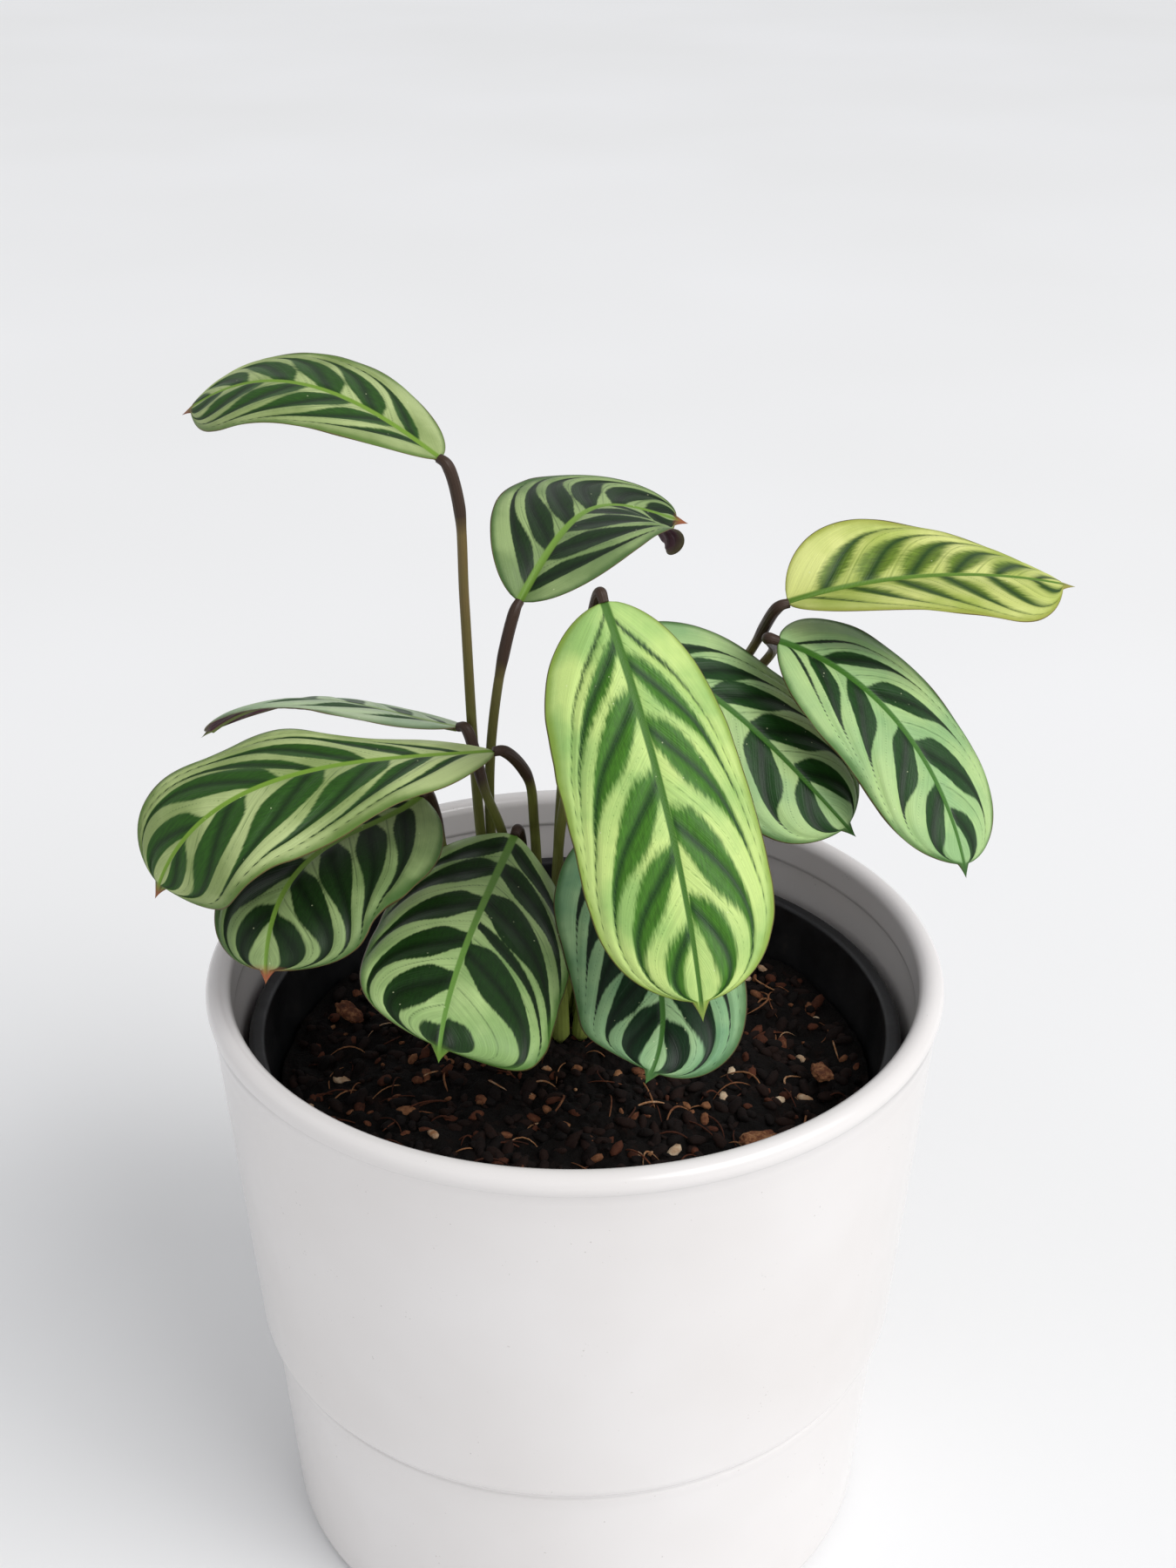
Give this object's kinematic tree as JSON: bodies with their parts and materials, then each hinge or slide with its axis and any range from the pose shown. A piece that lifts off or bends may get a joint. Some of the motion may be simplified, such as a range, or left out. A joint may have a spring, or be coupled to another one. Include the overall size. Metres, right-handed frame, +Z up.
{
  "type": "potted ctenanthe",
  "caption": "Young fishbone prayer plant with patterned oval leaves on thin stems, in a black nursery pot of peat set inside a white glazed cover pot.",
  "frame": {"origin": "centre of the cover pot's flat underside, on the surface it stands on", "axes": "+Z up out of the pot, -Y towards the front of the plant, +X to its right"},
  "size_m": [0.1656, 0.1358, 0.2235],
  "materials": {
    "pot_glaze": "gloss",
    "pot_plastic": "satin",
    "soil": "matte",
    "bark": "matte",
    "leaf": "satin",
    "stem": "satin"
  },
  "bodies": {
    "root": {"cover_pot": "pot_glaze", "nursery_pot": "pot_plastic", "potting_soil": "soil", "bark_chip_1": "bark", "bark_chip_2": "bark", "bark_chip_3": "bark", "bark_chip_4": "bark", "bark_chip_5": "bark", "bark_chip_6": "bark", "bark_chip_7": "bark", "leaf_blade_1": "leaf", "leaf_stem_1": "stem", "leaf_blade_2": "leaf", "leaf_stem_2": "stem", "leaf_blade_3": "leaf", "leaf_stem_3": "stem", "leaf_blade_4": "leaf", "leaf_stem_4": "stem", "leaf_blade_5": "leaf", "leaf_stem_5": "stem", "leaf_blade_6": "leaf", "leaf_stem_6": "stem", "leaf_blade_7": "leaf", "leaf_stem_7": "stem", "leaf_blade_8": "leaf", "leaf_stem_8": "stem", "leaf_blade_9": "leaf", "leaf_stem_9": "stem", "leaf_blade_10": "leaf", "leaf_stem_10": "stem", "leaf_blade_11": "leaf", "leaf_stem_11": "stem"}
  },
  "joints": []
}
